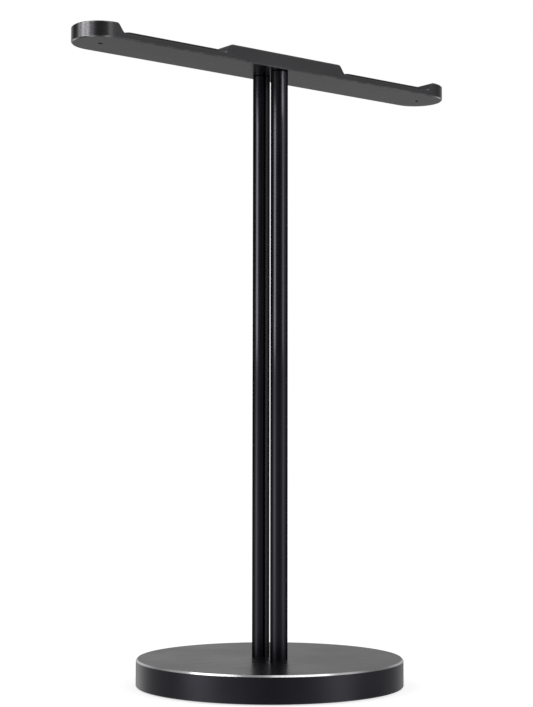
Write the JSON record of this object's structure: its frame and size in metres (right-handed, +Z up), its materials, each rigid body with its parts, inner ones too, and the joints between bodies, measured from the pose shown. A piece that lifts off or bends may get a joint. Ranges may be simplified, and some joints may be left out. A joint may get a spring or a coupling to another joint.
{
  "type": "headphone stand",
  "caption": "Free-standing headphone stand: a heavy round base, slim round rods side by side, and a flat bar with rounded ends and shallow cradles cut into its top for headbands.",
  "frame": {"origin": "middle of the foot pad's underside, where the stand rests", "axes": "+Z up along the rods, +X along the top bar, -Y towards the front; the rods stand one behind the other along Y"},
  "size_m": [0.2256, 0.13, 0.3082],
  "materials": {
    "base_anodised": "fine bead-blasted black anodising, with a bright cut bevel on the top edge",
    "rod_anodised": "satin black anodising",
    "bar_anodised": "satin dark anodising, brushed along the bar",
    "plate_steel": "zinc-plated",
    "screw_steel": "black oxide",
    "washer_steel": "bright zinc",
    "liner_silicone": "matt silicone",
    "foot_rubber": "matt, fine-grained",
    "film_adhesive": "thin adhesive film"
  },
  "bodies": {
    "root": {"base_disc": "base_anodised", "front_rod": "rod_anodised", "rear_rod": "rod_anodised", "cradle_bar": "bar_anodised", "weight_plate": "plate_steel", "plate_screw_1": "screw_steel", "plate_screw_2": "screw_steel", "plate_screw_3": "screw_steel", "front_base_screw": "screw_steel", "rear_base_screw": "screw_steel", "front_top_stud": "screw_steel", "rear_top_stud": "screw_steel", "front_flat_washer": "washer_steel", "rear_flat_washer": "washer_steel", "front_spring_washer": "washer_steel", "rear_spring_washer": "washer_steel", "left_cradle_pad": "liner_silicone", "right_cradle_pad": "liner_silicone", "foot_pad": "foot_rubber", "foot_pad_adhesive": "film_adhesive", "left_pad_adhesive": "film_adhesive", "right_pad_adhesive": "film_adhesive"}
  },
  "joints": []
}
